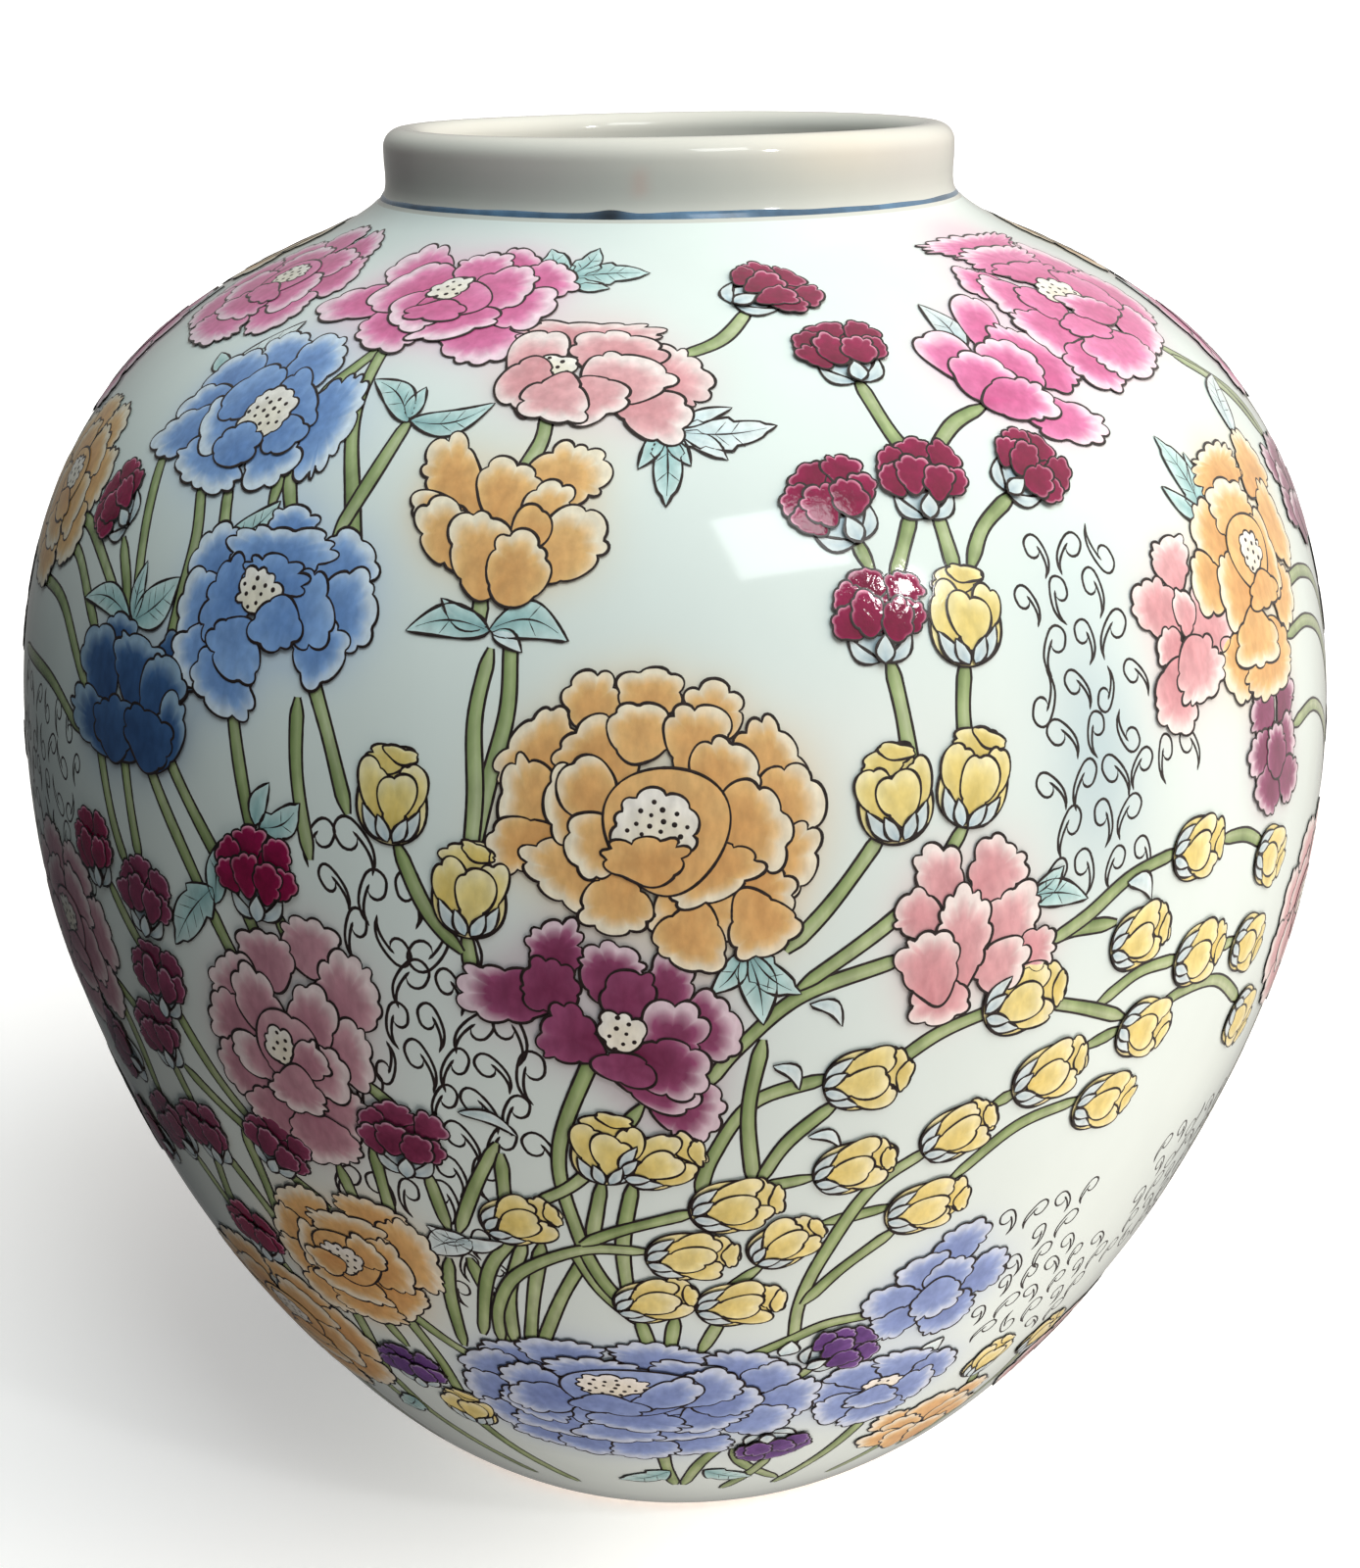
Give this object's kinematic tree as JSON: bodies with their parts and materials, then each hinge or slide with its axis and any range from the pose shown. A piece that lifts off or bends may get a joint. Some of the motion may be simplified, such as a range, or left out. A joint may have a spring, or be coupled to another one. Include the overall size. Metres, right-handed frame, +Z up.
{
  "type": "ginger jar",
  "caption": "Melon-shaped porcelain ginger jar with a low open collar, a turned foot ring and an enamelled all-over peony pattern.",
  "frame": {"origin": "centre of the foot ring on the table", "axes": "+Z up along the jar's axis; -Y towards the side of the pattern that was seen"},
  "size_m": [0.254, 0.254, 0.259],
  "materials": {
    "glaze": "gloss",
    "bare_foot": "matte",
    "blue_line": "gloss",
    "outline_black": "gloss",
    "pink_enamel": "gloss",
    "orange_enamel": "gloss",
    "crimson_enamel": "gloss",
    "blue_enamel": "gloss",
    "purple_enamel": "gloss",
    "teal_enamel": "gloss",
    "green_enamel": "gloss",
    "yellow_enamel": "gloss"
  },
  "bodies": {
    "root": {"base_disc": "glaze", "foot_ring": "bare_foot", "lower_wall": "glaze", "upper_wall": "glaze", "neck_collar": "glaze", "neck_line": "blue_line"}
  },
  "joints": []
}
